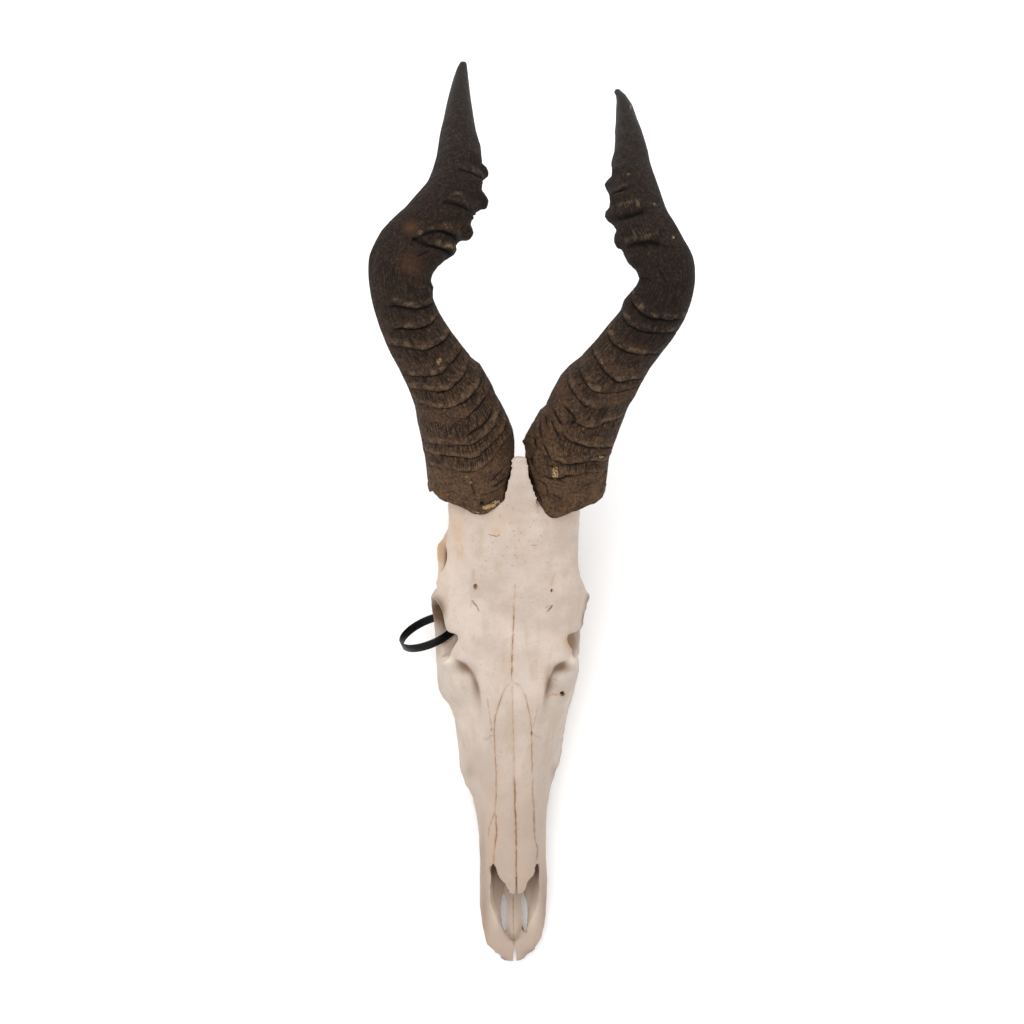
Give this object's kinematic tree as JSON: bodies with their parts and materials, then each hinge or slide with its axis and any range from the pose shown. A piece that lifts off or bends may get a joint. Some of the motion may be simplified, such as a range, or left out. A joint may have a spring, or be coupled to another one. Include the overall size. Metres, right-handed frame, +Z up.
{
  "type": "hartebeest skull",
  "caption": "Cleaned hartebeest skull with ringed lyre-shaped horns and no lower jaw, lying face up, with a black cable tie looped through the left eye socket.",
  "frame": {"origin": "middle of the bounding box, on the surface the skull lies on", "axes": "+Z up from the tooth crowns to the forehead, +Y from the nose to the horn tips, +X toward the skull's right as it is seen from above; left is -X, which is the left side of the picture"},
  "size_m": [0.269, 0.7982, 0.293],
  "materials": {
    "bone": "dry cleaned bone, matt with a slight sheen on the forehead",
    "horn": "dark brown keratin, matt and fibrous on the rings, smoother at the tips",
    "tooth": "ivory enamel with brown stain",
    "nylon": "black moulded nylon"
  },
  "bodies": {
    "root": {"cranium": "bone", "horn_left": "horn", "horn_right": "horn", "premolar_2_left": "tooth", "premolar_3_left": "tooth", "premolar_4_left": "tooth", "molar_1_left": "tooth", "molar_2_left": "tooth", "molar_3_left": "tooth", "premolar_2_right": "tooth", "premolar_3_right": "tooth", "premolar_4_right": "tooth", "molar_1_right": "tooth", "molar_2_right": "tooth", "molar_3_right": "tooth", "cable_tie": "nylon"}
  },
  "joints": []
}
